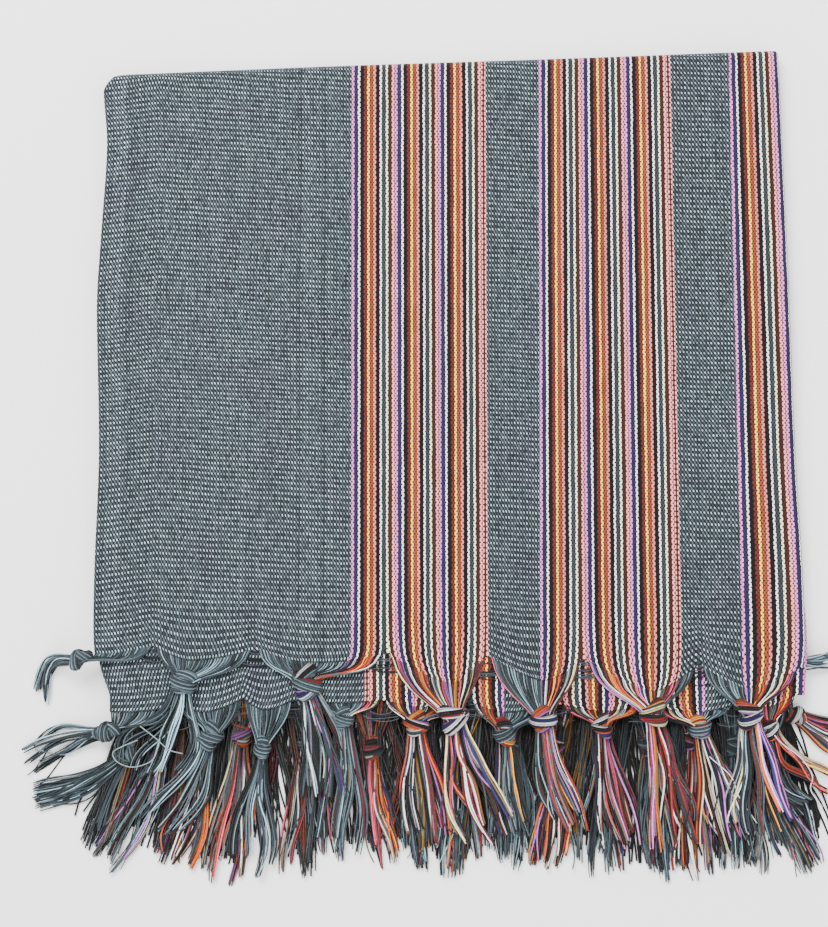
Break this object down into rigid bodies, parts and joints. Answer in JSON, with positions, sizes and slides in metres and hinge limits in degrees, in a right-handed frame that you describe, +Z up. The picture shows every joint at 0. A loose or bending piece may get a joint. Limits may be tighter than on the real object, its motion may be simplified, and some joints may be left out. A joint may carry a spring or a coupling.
{
  "type": "stole",
  "caption": "Handwoven cotton stole with lengthwise stripe groups and knotted tassels, folded to a flat block that rests with its tasselled ends together.",
  "frame": {"origin": "middle of the folded block's flat underside", "axes": "+Z up out of the stack, +X towards the lengthwise fold, +Y towards the top fold, tassels towards -Y"},
  "size_m": [0.4293, 0.4196, 0.0183],
  "materials": {
    "cloth": "matte warp-faced plain weave",
    "slate_yarn": "matte cotton yarn",
    "striped_yarn": "matte cotton yarn of many colours",
    "mixed_yarn": "matte cotton yarn, slate and coloured"
  },
  "bodies": {
    "root": {"inner_layers": "cloth", "second_leaf": "cloth", "front_leaf": "cloth", "front_tassel_1": "slate_yarn", "front_tassel_2": "slate_yarn", "front_tassel_3": "slate_yarn", "front_tassel_4": "striped_yarn", "front_tassel_5": "mixed_yarn", "front_tassel_6": "striped_yarn", "front_tassel_7": "striped_yarn", "second_tassel_1": "slate_yarn", "second_tassel_2": "slate_yarn", "second_tassel_3": "slate_yarn", "second_tassel_4": "mixed_yarn", "second_tassel_5": "striped_yarn", "second_tassel_6": "mixed_yarn", "second_tassel_7": "striped_yarn", "second_tassel_8": "slate_yarn", "second_tassel_9": "striped_yarn", "inner_tassel_1": "slate_yarn", "inner_tassel_2": "mixed_yarn", "inner_tassel_3": "striped_yarn", "inner_tassel_4": "striped_yarn", "inner_tassel_5": "mixed_yarn", "inner_tassel_6": "striped_yarn", "inner_tassel_7": "slate_yarn", "inner_tassel_8": "mixed_yarn", "inner_tassel_9": "slate_yarn", "inner_tassel_10": "striped_yarn", "inner_tassel_11": "mixed_yarn", "inner_tassel_12": "slate_yarn", "inner_tassel_13": "striped_yarn", "inner_tassel_14": "slate_yarn", "inner_tassel_15": "mixed_yarn", "inner_tassel_16": "striped_yarn"}
  },
  "joints": []
}
